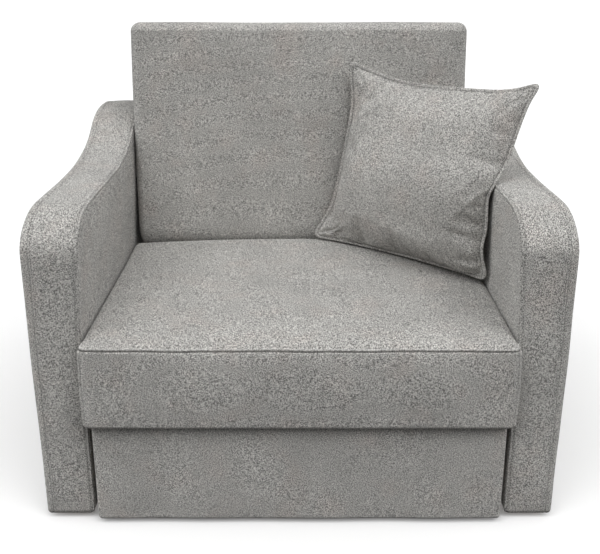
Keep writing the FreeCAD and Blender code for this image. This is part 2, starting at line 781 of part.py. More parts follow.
def pillow_section(y, left, right, thickness):
    """A lens across the pillow at y, with a thin upright edge at either end."""
    rim = pillow_edge_thickness / 2
    middle = (right - left) / 2
    upper, lower = [
        Part.Arc(
            Vector(-left, y, up * rim), Vector(middle, y, up * thickness / 2), Vector(right, y, up * rim)
        ).toShape()
        for up in (1, -1)
    ]
    ends = [
        Part.LineSegment(Vector(x, y, -rim), Vector(x, y, rim)).toShape() for x in (-left, right)
    ]
    return Part.Wire(Part.__sortEdges__([upper, lower] + ends))


def build_pillow():
    """Thin at its seam and thick in the middle; the sides are drawn in, most where the arm is."""
    half_wide, half_high = pillow_width / 2, pillow_height / 2
    slant = math.tan(math.radians(pillow_slant))
    wires = []
    for share in (-1.0, -0.75, -0.4, 0.0, 0.4, 0.75, 1.0):
        y = half_high * share
        drawn = 1 - share ** 2
        left = half_wide - pillow_draw_in * drawn - y * slant
        right = half_wide - pillow_arm_draw_in * drawn + y * slant
        swell = (pillow_thickness - pillow_edge_thickness) * (1 - abs(share) ** 2.2) ** 0.75
        wires.append(pillow_section(y, left, right, pillow_edge_thickness + 2.0 + swell))
    solid = Part.makeLoft(wires, True, False)
    radius = (half_wide ** 2 + pillow_draw_in ** 2) / (2 * pillow_draw_in)
    for side in (-1, 1):
        far = side * (half_high - pillow_draw_in + radius)
        centre = Vector(side * half_high * slant, far, -pillow_thickness)
        solid = solid.cut(Part.makeCylinder(radius, 2 * pillow_thickness, centre))
    origin = Vector(0, 0, 0)
    solid.rotate(origin, Vector(1, 0, 0), 90 - pillow_recline)
    solid.rotate(origin, Vector(0, 0, 1), -pillow_turn)
    bounds = solid.optimalBoundingBox(False, False)
    start = Vector(0, seat_rear - mattress_end_gap - bounds.YMax, seat_surface + cushion_crown - bounds.ZMin)
    solid.translate(start)
    beside_arm = solid.common(box(-overall_width, overall_width, 0, arm_depth, 0, arm_top + 2.0))
    reach = beside_arm.optimalBoundingBox(False, False).XMax
    solid.translate(Vector(arm_inner - pillow_arm_gap - reach, 0, 0))
    above_seat = solid.distToShape(made["seat_cover"][0])[0]
    solid.translate(Vector(0, 0, pillow_seat_gap - above_seat))
    before_back = solid.distToShape(made["backrest_cover"][0])[0]
    solid.translate(Vector(0, before_back - pillow_back_gap, 0))
    keep("pillow", [solid])


def write_parts():
    os.makedirs("parts", exist_ok=True)
    everything = Part.makeCompound([s for solids in made.values() for s in solids])
    bounds = everything.optimalBoundingBox(False, False)
    middle = (bounds.YMin + bounds.YMax) / 2
    print("width", round(bounds.XLength, 2), "depth", round(bounds.YLength, 2))
    print("height", round(bounds.ZMax, 2), "middle", round(middle, 3))
    for name, solids in made.items():
        shape = solids[0] if len(solids) == 1 else Part.makeCompound(solids)
        shape = shape.copy()
        shape.translate(Vector(0, -middle, 0))
        shape.exportStep(f"parts/{name}.step")


build_arms()
build_bolts()
build_base()
build_seat()
build_front_panel()
build_wheels()
build_backrest()
build_rear()
build_pillow()
write_parts()
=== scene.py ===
"""The looks of an upholstered chair bed: grey woven cloth over foam, on a steel folding frame.

Sizes are in millimetres with Y counted from the arms' front faces, until a piece is made; then they
are metres about the frame's origin. Surfaces are functions of two parameters, worked out as arrays.
"""
import json
import math

import bmesh
import bpy
import numpy as np
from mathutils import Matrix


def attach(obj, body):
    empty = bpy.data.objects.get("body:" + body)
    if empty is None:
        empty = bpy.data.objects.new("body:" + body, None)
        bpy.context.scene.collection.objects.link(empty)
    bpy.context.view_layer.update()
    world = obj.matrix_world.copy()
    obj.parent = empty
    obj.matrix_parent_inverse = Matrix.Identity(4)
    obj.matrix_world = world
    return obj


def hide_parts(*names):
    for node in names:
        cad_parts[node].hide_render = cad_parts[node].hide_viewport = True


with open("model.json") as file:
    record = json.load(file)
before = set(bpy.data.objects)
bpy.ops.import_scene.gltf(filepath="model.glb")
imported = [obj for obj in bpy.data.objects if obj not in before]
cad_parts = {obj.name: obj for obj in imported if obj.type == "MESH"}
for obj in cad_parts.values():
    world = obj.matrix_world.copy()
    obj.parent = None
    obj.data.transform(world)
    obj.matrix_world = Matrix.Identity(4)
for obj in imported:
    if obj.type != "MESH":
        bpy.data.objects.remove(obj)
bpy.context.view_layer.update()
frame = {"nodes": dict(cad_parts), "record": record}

MIDDLE = 463.507             # from the arms' front faces to the frame's origin
TURN = math.radians(85)      # the folded back stands this far from level
SEAT_PIVOT = (604.0, 361.0)
REAR_PIVOT = (938.062, 361.0)
NO_STITCHES = 9.0            # a distance across a row of stitches that is well beside it


# Meshes


def welded(grids):
    """Points and faces of several rectangular grids, with the points that meet joined into one."""
    rows, quads, count = [], [], 0
    for grid in grids:
        m, n = grid.shape[:2]
        number = np.arange(m * n).reshape(m, n) + count
        corners = [number[:-1, :-1], number[1:, :-1], number[1:, 1:], number[:-1, 1:]]
        quads.append(np.stack(corners, -1).reshape(-1, 4))
        rows.append(grid.reshape(m * n, -1))
        count += m * n
    rows, quads = np.concatenate(rows), np.concatenate(quads)
    keys = np.round(rows[:, :3] / 0.02).astype(np.int64)
    _, first, same = np.unique(keys, axis=0, return_index=True, return_inverse=True)
    quads = same.reshape(-1)[quads]
    meets = quads == np.roll(quads, -1, axis=1)
    whole = quads[meets.sum(1) == 0]
    pinched = quads[meets.sum(1) == 1]
    threes = pinched[~meets[meets.sum(1) == 1]].reshape(-1, 3)
    return rows[first], whole.tolist() + threes.tolist()


def in_frame(points):
    """Millimetres from the arms' front faces as metres about the frame's origin."""
    return (np.asarray(points, float) - [0, MIDDLE, 0]) / 1000


def turn_outward(mesh):
    """Turns the faces of a closed mesh outward."""
    made = bmesh.new()
    made.from_mesh(mesh)
    bmesh.ops.recalc_face_normals(made, faces=made.faces)
    made.to_mesh(mesh)
    made.free()


def piece(name, points, faces, body, replaced, marks):
    """A smooth padded piece in cloth, with outward faces, that rides on a body and stands for CAD nodes."""
    mesh = bpy.data.meshes.new(name)
    mesh.from_pydata(in_frame(points).tolist(), [], faces)
    turn_outward(mesh)
    mesh.polygons.foreach_set("use_smooth", np.ones(len(mesh.polygons), bool))
    for mark, values in marks.items():
        layer = mesh.attributes.new(mark, "FLOAT", "POINT")
        layer.data.foreach_set("value", np.asarray(values, np.float32))
    mesh.materials.append(cloth)
    thing = bpy.data.objects.new(name, mesh)
    bpy.context.scene.collection.objects.link(thing)
    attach(thing, body)
    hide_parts(*replaced)
    return thing


def marked(along, dark=0.0, across=NO_STITCHES):
    """The values that the cloth reads: seams, and the distances across and along a row of stitches."""
    # The value seam (dark) is painted shade where it is above nought and a painted highlight where it is
    # below nought.
    return {name: np.broadcast_to(value, len(along)) for name, value in
            (("seam", dark), ("across", across), ("along", along))}


def ruled(low, high, start, end, fine, step):
    """Grid lines along one side of a block: even angles over its roundings, even steps between them."""
    near = 1 - np.tan(np.linspace(0, np.pi / 4, fine + 1))
    count = max(2, round((high - low - start - end) / step) + 1)
    between = np.linspace(low + start, high - end, count)
    return np.unique(np.round(np.concatenate([low + start * near, between, high - end * near]), 4))


def block(low, high, start, end, fine, step):
    """Points, outward directions and faces of a box with round edges.

    A point p of the plain box goes to q + r * d / |d|, where q is the nearest point of the box shrunk
    by the radii r of its low sides (start) and high sides (end), and d is (p - q) / r.
    """
    low, high = np.array(low, float), np.array(high, float)
    start, end = np.broadcast_to(start, 3).astype(float), np.broadcast_to(end, 3).astype(float)
    lines = [ruled(low[i], high[i], start[i], end[i], fine, step) for i in range(3)]
    grids = []
    for axis in range(3):
        a, b = [i for i in range(3) if i != axis]
        for level in (low[axis], high[axis]):
            grid = np.empty((len(lines[a]), len(lines[b]), 3))
            grid[..., a], grid[..., b] = np.meshgrid(lines[a], lines[b], indexing="ij")
            grid[..., axis] = level
            grids.append(grid)
    points, faces = welded(grids)
    core = np.clip(points, low + start, high - end)
    radii = np.where(points < core, start, end)
    away = (points - core) / radii
    away /= np.linalg.norm(away, axis=1, keepdims=True)
    out = away / radii
    return core + radii * away, out / np.linalg.norm(out, axis=1, keepdims=True), faces


def hills(points, height, wave, seed):
    """Gentle unevenness: a sum of nine sines, each in its own direction and of its own length."""
    random = np.random.default_rng(seed)
    directions = random.normal(size=(9, 3))
    directions /= np.linalg.norm(directions, axis=1, keepdims=True)
    lengths = wave * random.uniform(0.6, 1.6, 9)
    starts = random.uniform(0, 2 * np.pi, 9)
    return height * np.sin(points @ directions.T * 2 * np.pi / lengths + starts).sum(1) / 3


def ridge(distance, at, width):
    """A bell-shaped bump across a seam, one high."""
    return np.exp(-(((distance - at) / width) ** 2))


def fade(value, start, end):
    """From nought at start to one at end, smoothly."""
    t = np.clip((value - start) / (end - start), 0, 1)
    return t * t * (3 - 2 * t)


# Finishes


def links(owner):
    """A maker of nodes for a material's or world's emptied tree: their inputs are values or sockets."""
    owner.use_nodes = True
    tree = owner.node_tree
    tree.nodes.clear()

    def add(kind, inputs=None, **settings):
        node = tree.nodes.new(kind)
        for key, value in settings.items():
            setattr(node, key, value)
        for key, value in (inputs or {}).items():
            if isinstance(value, bpy.types.NodeSocket):
                tree.links.new(value, node.inputs[key])
            else:
                node.inputs[key].default_value = value
        return node

    return add


def noise(add, where, scale, detail=2.0, roughness=0.5, stretch=None):
    """A noise texture at these coordinates, which may be scaled by axis."""
    if stretch:
        where = add("ShaderNodeMapping", {"Vector": where, "Scale": stretch}).outputs[0]
    inputs = {"Vector": where, "Scale": scale, "Detail": detail, "Roughness": roughness}
    return add("ShaderNodeTexNoise", inputs).outputs[0]


def spread(add, value, low, high, to_low=0.0, to_high=1.0):
    """A value's range from low to high, spread over another and held at its ends."""
    inputs = {"Value": value, "From Min": low, "From Max": high, "To Min": to_low, "To Max": to_high}
    return add("ShaderNodeMapRange", inputs).outputs[0]


def maths(add, how, a, b):
    """One sum on two values."""
    return add("ShaderNodeMath", {0: a, 1: b}, operation=how).outputs[0]


def mixed(add, share, a, b, blend="MIX"):
    """Two colours mixed by a share."""
    made = add("ShaderNodeMix", data_type="RGBA", blend_type=blend)
    tree = made.id_data
    for key, value in ((0, share), (6, a), (7, b)):
        if isinstance(value, bpy.types.NodeSocket):
            tree.links.new(value, made.inputs[key])
        else:
            made.inputs[key].default_value = value
    return made.outputs[2]


def surface(add, colour, roughness, height=None, strength=1.0, distance=0.001, **own):
    """A shader for the material's output, with bumps from a height where one is given."""
    shader = add("ShaderNodeBsdfPrincipled", {"Base Color": colour, "Roughness": roughness})
    for key, value in own.items():
        shader.inputs[key.replace("_", " ")].default_value = value
    if height is not None:
        bump = add("ShaderNodeBump", {"Height": height, "Strength": strength, "Distance": distance})
        shader.id_data.links.new(bump.outputs[0], shader.inputs["Normal"])
    add("ShaderNodeOutputMaterial", {"Surface": shader.outputs[0]})


def grey_cloth():
    """A flat weave of light and dark yarns: pepper-and-salt grains, soft blotches, a warm tint in places.

    The mark seam paints shade into the creases beside a seam where it is above nought, and paints a
    highlight on the ridges where it is below. The marks across and along draw the stitches beside a seam.
    """
    material = bpy.data.materials.new("grey_cloth")
    add = links(material)
    where = add("ShaderNodeTexCoord").outputs["Object"]
    grain = noise(add, where, 560, 3, 0.8, (1.0, 0.42, 1.0))
    fine = noise(add, where, 1270, 2, 0.7, (1.0, 0.42, 1.0))
    yarn = maths(add, "ADD", maths(add, "MULTIPLY", grain, 0.75), maths(add, "MULTIPLY", fine, 0.25))
    yarn = spread(add, yarn, 0.456, 0.544)
    colour = mixed(add, yarn, (0.105, 0.102, 0.097, 1), (0.815, 0.799, 0.762, 1))
    patch = spread(add, noise(add, where, 9, 3, 0.55), 0.3, 0.7, 0.90, 1.07)
    patch = add("ShaderNodeCombineColor", {0: patch, 1: patch, 2: patch}).outputs[0]
    colour = mixed(add, 1.0, colour, patch, "MULTIPLY")
    warmth = spread(add, noise(add, where, 14, 2, 0.5), 0.5, 0.72, 0.0, 0.5)
    warm = mixed(add, 1.0, colour, (1.06, 0.985, 0.96, 1), "MULTIPLY")
    colour = mixed(add, warmth, colour, warm)
    # The attribute seam is painted shade where it is above nought and a painted highlight where it is below
    # nought.
    seam = add("ShaderNodeAttribute", attribute_name="seam").outputs["Fac"]
    across = add("ShaderNodeAttribute", attribute_name="across").outputs["Fac"]
    along = add("ShaderNodeAttribute", attribute_name="along").outputs["Fac"]
    step = maths(add, "FRACT", maths(add, "MULTIPLY", along, 1 / 6.0), 0.0)
    dash = spread(add, step, 0.56, 0.66, 1.0, 0.0)
    row = spread(add, maths(add, "ABSOLUTE", across, 0.0), 0.5, 1.0, 1.0, 0.0)
    stitch = maths(add, "MULTIPLY", dash, row)
    # Painted shade in the seams' creases, together with the dark thread of the stitches, mixed toward near
    # black.
    dark = maths(add, "MAXIMUM", seam, maths(add, "MULTIPLY", stitch, 0.75))
    colour = mixed(add, maths(add, "MULTIPLY", dark, 0.6), colour, (0.05, 0.05, 0.048, 1))
    # Painted highlight on the seams' ridges, from where the mark seam is below nought.
    painted_highlight = maths(add, "MAXIMUM", maths(add, "MULTIPLY", seam, -1.0), 0.0)
    colour = mixed(add, maths(add, "MULTIPLY", painted_highlight, 0.5), colour, (0.72, 0.71, 0.68, 1))
    height = maths(add, "SUBTRACT", yarn, maths(add, "MULTIPLY", stitch, 1.5))
    surface(
        add, colour, 0.93, height, 0.55, 0.0012,
        Sheen_Weight=0.25, Sheen_Roughness=0.5, Specular_IOR_Level=0.2,
    )
    return material


def timber(name, light, dark, along, scale):
    """Wood with grain along one axis: noise stretched that way, and darker late-wood lines."""
    material = bpy.data.materials.new(name)
    add = links(material)
    where = add("ShaderNodeTexCoord").outputs["Object"]
    stretch = tuple(0.06 if i == along else 1.0 for i in range(3))
    rings = noise(add, where, scale, 4, 0.6, stretch)
    pores = noise(add, where, scale * 6, 2, 0.6, stretch)
    both = maths(add, "ADD", maths(add, "MULTIPLY", rings, 0.7), maths(add, "MULTIPLY", pores, 0.3))
    colour = mixed(add, spread(add, both, 0.35, 0.65), dark, light)
    surface(add, colour, spread(add, pores, 0.3, 0.7, 0.42, 0.6), pores, 0.3, 0.0004)
    return material


def coated(name, colour, metallic, roughness, speckle):
    """Painted or plated metal, plastic or rubber: a faint orange peel, and a clouded tone and gloss."""
    material = bpy.data.materials.new(name)
    add = links(material)
    where = add("ShaderNodeTexCoord").outputs["Object"]
    peel = noise(add, where, 700, 2, 0.5)
    cloud = spread(add, noise(add, where, 25, 3, 0.6), 0.3, 0.7, roughness - 0.06, roughness + 0.08)
    darker, lighter = (tuple(c * share for c in colour) + (1,) for share in (1 - speckle, 1 + speckle))
    shade = mixed(add, noise(add, where, 60, 3, 0.6), darker, lighter)
    surface(add, shade, cloud, peel, 0.25, 0.0003, Metallic=metallic)
    return material


cloth = grey_cloth()
finishes = {
    "plywood": timber("plywood", (0.62, 0.47, 0.30, 1), (0.45, 0.32, 0.19, 1), 1, 60),
    "pine": timber("pine", (0.70, 0.54, 0.33, 1), (0.52, 0.35, 0.18, 1), 2, 45),
    "birch": timber("birch", (0.72, 0.56, 0.36, 1), (0.55, 0.39, 0.22, 1), 0, 70),
    "black_plastic": coated("black_plastic", (0.022, 0.022, 0.023), 0.0, 0.5, 0.15),
    "wheel_rubber": coated("wheel_rubber", (0.045, 0.045, 0.047), 0.0, 0.72, 0.2),
    "zinc_steel": coated("zinc_steel", (0.60, 0.60, 0.62), 1.0, 0.34, 0.08),
    "painted_steel": coated("painted_steel", (0.030, 0.030, 0.033), 0.0, 0.42, 0.15),
    "grey_cloth": cloth,
    "foam": cloth,
}
slot_of = {part["node"]: part["material_slot"] for part in frame["record"]["subparts"]}
for name, node in frame["nodes"].items():
    for place in node.material_slots:
        place.material = finishes[slot_of[name]]


# Cushions


def edge_distance(level, top, radius, rise, angle):
    """How far above a seam a point lies, over the surface.

    The seam runs at that angle round the top edge; rise is the surface's outward direction's Z.
    """
    round_edge = radius * (np.arcsin(np.clip(rise, -1, 1)) - math.radians(angle))
    return round_edge + np.minimum(0, level - (top - radius))


def make_seat():
    """A thick foam seat: crowned on top, bulging in front, with a seam round its upper edge.

    The crown is one less a power of the distance from the middle, and dies away to the front as
    a quarter of an ellipse. The lower front edge hangs a little in front of the panel.
    """
    half, front, rear, bottom, top = 402.0, -42.0, 591.5, 230.4, 386.0
    side_radius, radius, rear_radius, low_radius = 12.0, 14.0, 22.0, 9.0
    seam_angle, corner_seam, lip = 30, math.radians(52), 12.5
    points, out, faces = block(
        (-half, front, bottom), (half, rear, top),
        (side_radius, radius, low_radius), (side_radius, rear_radius, radius), 12, 7.0,
    )
    x, y, z = points.T
    up, ahead, side = np.clip(out[:, 2], 0, 1), np.clip(-out[:, 1], 0, 1), out[:, 0]
    wave = 0.5 * np.sin(x / 47) + 0.35 * np.sin(x / 19 + 1) + 0.3 * np.sin(y / 23)
    above = edge_distance(z, top, radius, out[:, 2], seam_angle) + wave
    corner = 11 * (np.arctan2(np.abs(side), np.maximum(-out[:, 1], 1e-6)) - corner_seam)
    corner += np.minimum(0, np.abs(x) - (half - side_radius))
    corner = np.where(out[:, 1] < 0.02, corner, 99) + 0.4 * np.sin(z / 13)
    below = 1 - fade(above, -5, -2)
    near = np.clip((120 - y) / 170, 0, 0.93)
    along = 1 - (1 - np.sqrt(1 - near ** 2)) / 0.633
    points[:, 2] += up * 12.0 * (1 - np.abs(x / half) ** 2.2) * along
    points[:, 2] += up * 7.0 * fade(y, 420, 575)
    points[:, 1] -= ahead * 6.5 * (1 - ((z - 305) / 80) ** 2) * (1 - np.abs(x / half) ** 6)
    points[:, 0] += side * 5.0 * fade(-y, 1, 18) * (1 - np.clip((z - 312) / 98, -1, 1) ** 4)
    lift = 2.0 * ridge(above, 2.2, 1.9) - 3.0 * ridge(above, -1.6, 1.5) - 1.0 * ridge(above, 0, 9)
    lift += below * (1.3 * ridge(corner, 1.4, 1.4) - 1.5 * ridge(corner, -1.8, 1.3))
    points[:, 2] -= lip * fade(-y, 24, 31) * (1 - fade(z, bottom, bottom + 60))
    soft = fade(z, bottom + 2, bottom + 30)
    lift += soft * hills(points, 0.9, 240, 3) * (1 - ridge(above, 0, 14))
    points += out * lift[:, None]
    # Painted shade in the crease under the top seam and beside the corner seams, less a painted highlight on
    # the ridges beside them.
    dark = np.maximum(1.0 * ridge(above, -1.6, 1.0), below * 0.5 * ridge(corner, -1.8, 0.9))
    dark -= 0.45 * ridge(above, 2.4, 1.6) + below * 0.3 * ridge(corner, 1.6, 1.3)
    replaced = ["seat_cover", "seat_foam"]
    piece("seat_cushion", points, faces, "seat_section", replaced, marked(x, dark))


def make_panel():
    """The thin padded panel below the seat."""
    half = 394.5
    points, out, faces = block((-half, -20.5, 9.5), (half, 5.0, 226.0), 8.0, 8.0, 8, 7.0)
    x, _, z = points.T
    ahead = np.clip(-out[:, 1], 0, 1)
    points[:, 1] -= ahead * 1.5 * (1 - np.abs(x / half) ** 4) * (1 - ((z - 118) / 108) ** 4)
    points += out * (ahead * hills(points, 0.8, 190, 11))[:, None]
    piece("front_panel_padding", points, faces, "seat_section", ["front_panel_cover"], marked(x))


def turned(points, pivot, angle):
    """Points drawn level, with Y and Z counted from a pivot, turned about X to where they stand."""
    x, y, z = points.T
    c, s = math.cos(angle), math.sin(angle)
    return np.stack([x, pivot[0] + y * c - z * s, pivot[1] + y * s + z * c], -1)


def make_mattress(name, stem, half, start, end, crown, seed, stands, body, shift=0.0, foot=22.0):
    """A plain mattress section: crowned on its lying side, with a flat seam round the middle of its edge.

    It is drawn level from start to end, and stands at a pivot, turned by an angle. The foot is the
    radius of the lying side's edge at its start, and the stem begins the names of the nodes it covers.
    """
    radius, under, over, zip_level = 22.0, -94.8, 24.0, -52.0
    starts, ends = (radius, foot, radius), (radius, radius, foot * 0.5 + 11)
    points, out, faces = block((-half, start, under), (half, end, over), starts, ends, 9, 7.5)
    x, y, z = points.T
    middle, reach = (start + end) / 2, (end - start) / 2
    up = np.clip(out[:, 2], 0, 1)
    points[:, 2] += up * crown * (1 - np.abs(x / half) ** 3) * (1 - np.abs((y - middle) / reach) ** 3)
    around = np.sqrt(out[:, 0] ** 2 + out[:, 1] ** 2)
    zip_line = z - zip_level + 0.5 * np.sin(x / 31) + 0.5 * np.sin(y / 27)
    lift = around * (0.5 * ridge(zip_line, 3.5, 2.5) - 1.0 * ridge(zip_line, 0, 2.2))
    lift += fade(z, -85, -40) * hills(points, 0.9, 260, seed)
    points += out * lift[:, None]
    points[:, 0] += shift
    # Painted shade in the groove of the seam round the edge.
    marks = marked(x, 0.6 * around * ridge(zip_line, 0, 2.0))
    piece(name, turned(points, *stands), faces, body, [stem + "_cover", stem + "_foam"], marks)


# Arms


ARM_INNER, ARM_OUTER = 402.0, 500.0
ARM_LENGTH = 960.0
FLOOR_LEVEL = 12.2
NOSE_BASE, ARM_TOP = 545.0, 615.0       # a quarter ellipse between these, 125 long
SHOULDER, SHOULDER_BASE = 155.0, 547.0


def arm_path():
    """The arm's side outline as (Y, Z) points, and the distance along it.

    From the floor up the front, round an elliptical nose, along the level top, up two opposite arcs
    to the crest, round the shoulder and down the rear.
    """
    turns = np.linspace(0, 1, 60)[:, None]
    nose = np.pi - turns * np.pi / 2
    slope = math.radians(26)
    low = 575.0 * np.hstack([np.sin(slope * turns), 1 - np.cos(slope * turns)]) + [398.0, ARM_TOP]
    fall = slope * (1 - turns)
    high = low[-1] + 285.0 * np.hstack([math.sin(slope) - np.sin(fall), np.cos(fall) - math.cos(slope)])
    shoulder = np.pi / 2 * (1 - turns)
    corner = high[-1, 0] + 30.0
    parts = [
        np.hstack([0 * turns, FLOOR_LEVEL + turns * (NOSE_BASE - FLOOR_LEVEL)]),
        np.hstack([125.0 + 125.0 * np.cos(nose), NOSE_BASE + (ARM_TOP - NOSE_BASE) * np.sin(nose)]),
        np.hstack([125.0 + turns * 273.0, ARM_TOP + 0 * turns]),
        low,
        high,
        np.hstack([corner + SHOULDER * np.cos(shoulder), SHOULDER_BASE + SHOULDER * np.sin(shoulder)]),
        np.hstack([corner + SHOULDER + 0 * turns, SHOULDER_BASE - turns * (SHOULDER_BASE - FLOOR_LEVEL)]),
    ]
    path = np.concatenate(parts)
    apart = np.r_[True, np.linalg.norm(np.diff(path, axis=0), axis=1) > 1e-6]
    path = path[apart]
    length = np.r_[0, np.cumsum(np.linalg.norm(np.diff(path, axis=0), axis=1))]
    return path, length


PATH, LENGTH = arm_path()


def on_path(along, inset):
    """Points of the outline at these distances along it, drawn in by inset, and their outward directions."""
    at = np.stack([np.interp(along, LENGTH, PATH[:, i]) for i in (0, 1)], -1)
    reach = 6.0
    ahead = np.stack([np.interp(along + reach, LENGTH, PATH[:, i]) for i in (0, 1)], -1)
    behind = np.stack([np.interp(along - reach, LENGTH, PATH[:, i]) for i in (0, 1)], -1)
    way = ahead - behind
    way /= np.linalg.norm(way, axis=-1, keepdims=True)
    out = np.stack([-way[..., 1], way[..., 0]], -1)
    drawn = at - out * inset
    lift = inset * np.clip(1 - (at[..., 1] - FLOOR_LEVEL) / 300, 0, 1)
    drawn[..., 1] += lift
    return drawn, out


def arm_sides(inset):
    """Front, top, rear and bottom of the outline, drawn in: places, outward directions, distances along."""
    nose, shoulder = 615.0, LENGTH[-1] - (SHOULDER_BASE - FLOOR_LEVEL) - 120    # half way round each
    sides = []
    for start, end, count in ((0, nose, 84), (nose, shoulder, 120), (LENGTH[-1], shoulder, 84)):
        along = np.linspace(start, end, count)
        places, out = on_path(along, inset)
        sides.append((places, out, along))
    a, b = sides[0][0][0], sides[2][0][0]
    t = np.linspace(0, 1, 120)[:, None]
    places = a + (b - a) * t
    sides.append((places, np.tile([0.0, -1.0], (120, 1)), -t[:, 0] * ARM_LENGTH))
    return sides


def make_arm(side, name):
    """An arm: a band over front, top and rear between two faces, its four edges round.

    Each face is a patch blended from its four edges (their sum less the corners' bilinear blend).
    """
    radius, inner, outer = 9.0, ARM_INNER, ARM_OUTER
    seam_at = outer - 13.0

    def rounding(edge, inward, angles):
        rows = []
        for a in angles:
            direction = (-inward * math.sin(a), math.cos(a))
            rows.append((edge + inward * radius * (1 - math.sin(a)), radius * (1 - math.cos(a)), direction))
        return rows

    angles = np.linspace(0, np.pi / 2, 13)
    flat_start = inner + radius
    beside = flat_start + np.array([1.2, 2.4, 3.6, 4.8, 6.5, 9])
    fine = seam_at + np.array([-5, -3.6, -2.6, -1.8, -1.0, -0.3, 0.4, 1.1, 1.8, 2.6, 3.5])
    flat = np.r_[beside, np.linspace(flat_start + 15, seam_at - 9, 8), fine]
    across = rounding(inner, 1, angles[::-1]) + [(x, 0.0, (0.0, 1.0)) for x in flat]
    across += rounding(outer, -1, angles)
    arc = radius * np.pi / 4
    grids = []
    rings = [arm_sides(inset) for _, inset, _ in across]
    for k in range(4):
        columns = []
        for (x, inset, (sx, sn)), ring in zip(across, rings):
            places, out, along = ring[k]
            n = len(places)
            if x <= inner + radius:
                from_seam = radius * math.atan2(sn, -sx) - arc if sx < 0 else arc
            else:
                from_seam = arc + x - inner - radius
            column = np.column_stack([
                np.full(n, x), places, np.full(n, sx), out * sn, np.full(n, from_seam), along,
            ])
            columns.append(column)
        grids.append(np.stack(columns, 1))
    for x, sx, ring in ((inner, -1.0, rings[0]), (outer, 1.0, rings[-1])):
        front, top, rear, bottom = [r[0] for r in ring]
        u = np.linspace(0, 1, len(top))[None, :, None]
        v = np.linspace(0, 1, len(front))[:, None, None]
        patch = (1 - u) * front[:, None] + u * rear[:, None] + (1 - v) * bottom[None] + v * top[None]
        patch -= (1 - v) * ((1 - u) * bottom[0] + u * bottom[-1]) + v * ((1 - u) * top[0] + u * top[-1])
        m, n = patch.shape[:2]
        grid = np.zeros((m, n, 8))
        grid[..., 0] = x
        grid[..., 1:3] = patch
        grid[..., 3] = sx
        grid[..., 6] = -60.0 if sx < 0 else 160.0
        grids.append(grid)
    rows, faces = welded(grids)
    points, out, from_seam, along = rows[:, :3].copy(), rows[:, 3:6], rows[:, 6], rows[:, 7]
    x, _, z = points.T
    band = np.sqrt(out[:, 1] ** 2 + out[:, 2] ** 2)
    inward = np.clip(-out[:, 0], 0, 1)
    lean = 3.2 - 7.7 * fade(z, 370, 585)
    points[:, 0] += np.where(x < 451, lean * fade(451 - x, 0, 49), 0)
    upper = fade(z, 14, 60)
    wobble = 0.35 * np.sin(along / 33) + 0.25 * np.sin(along / 13)
    inner_seam = from_seam + wobble
    outer_seam = x - seam_at + wobble
    on_band = (band > 0.5) & (along > -1)
    welt = 2.4 * ridge(inner_seam, 0, 1.5)
    welt -= 1.4 * ridge(inner_seam, -3.6, 1.6) + 1.0 * ridge(inner_seam, 3.6, 1.7)
    lift = np.where(along > -1, welt, 0)
    lift += np.where(on_band, 0.5 * ridge(outer_seam, 2.4, 1.4) - 1.0 * ridge(outer_seam, 0, 1.2), 0)
    lift += band * 2.0 * np.clip(1 - ((x - 451) / 42) ** 2, 0, 1) * upper
    lift += hills(points, 0.8, 210, 21 + side) * upper * np.where(inward > 0.5, 0.5, 1)
    lift += np.clip(out[:, 0], 0, 1) * 3.2 * upper * fade(z, 100, 420)
    points += out * lift[:, None]
    # Painted shade in the creases beside the inner welt and in the outer seam's groove, less a painted
    # highlight on the welt's ridge.
    creases = np.maximum(0.9 * ridge(inner_seam, -3.2, 1.2), 0.5 * ridge(inner_seam, 3.2, 1.1))
    dark = np.where(along > -1, creases, 0) - np.where(along > -1, 0.55 * ridge(inner_seam, 0, 1.5), 0)
    dark = np.maximum(dark, np.where(on_band, 0.5 * ridge(outer_seam, 0, 1.0), 0))
    nearest = np.where(np.abs(outer_seam + 5) < 4, outer_seam + 5, inner_seam - 6.0)
    stitch = np.where(on_band, nearest, NO_STITCHES)
    points[:, 0] *= side
    piece(name, points, faces, "base", [name.replace("arm", "arm_cover")], marked(along, dark, stitch))


# Pillow


def curve(points, count):
    """Even points on a smooth curve through a few given ones (a Catmull-Rom spline)."""
    p = np.array(points, float)
    p = np.concatenate([[2 * p[0] - p[1]], p, [2 * p[-1] - p[-2]]])
    t = np.linspace(0, len(p) - 3 - 1e-9, 400)
    i = t.astype(int)
    f = (t - i)[:, None]
    a, b, c, d = p[i], p[i + 1], p[i + 2], p[i + 3]
    square, cube = 2 * a - 5 * b + 4 * c - d, 3 * b - a - 3 * c + d
    path = 0.5 * (2 * b + (c - a) * f + square * f ** 2 + cube * f ** 3)
    length = np.r_[0, np.cumsum(np.linalg.norm(np.diff(path, axis=0), axis=1))]
    even = np.linspace(0, length[-1], count)
    return np.stack([np.interp(even, length, path[:, k]) for k in range(3)], -1)


